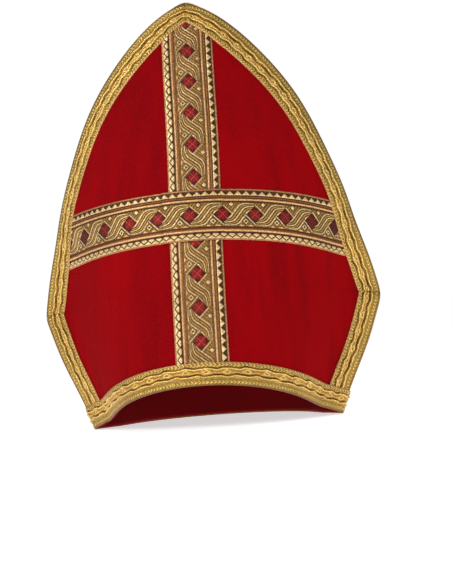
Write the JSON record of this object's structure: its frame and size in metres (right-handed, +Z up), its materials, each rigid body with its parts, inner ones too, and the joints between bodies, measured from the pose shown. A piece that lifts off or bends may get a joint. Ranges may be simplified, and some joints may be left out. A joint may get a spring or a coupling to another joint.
{
  "type": "bishop mitre",
  "caption": "Tall pointed ceremonial hat of stiff red velvet shields with a cross of woven gold ribbon, gold braid edges and a soft folded crown.",
  "frame": {"origin": "on the floor under the middle of the mitre's box, as it rests on its back rim", "axes": "+Z up, the front shield faces -Y, +X to the right as seen from the front"},
  "size_m": [0.2972, 0.244, 0.3618],
  "materials": {
    "red_velvet": "deep red velvet, matt with a soft sheen",
    "crown_cloth": "deep red cloth, matt",
    "gold_braid": "knitted metallic gold braid, satin",
    "woven_ribbon": "woven metallic gold and cream ribbon, satin"
  },
  "bodies": {
    "root": {"front_shield": "red_velvet", "back_shield": "red_velvet", "crown_gusset": "crown_cloth", "rim_braid": "gold_braid", "front_edge_braid": "gold_braid", "back_edge_braid": "gold_braid", "front_upright_ribbon": "woven_ribbon", "back_upright_ribbon": "woven_ribbon", "front_crossbar_ribbon": "woven_ribbon", "back_crossbar_ribbon": "woven_ribbon"}
  },
  "joints": []
}
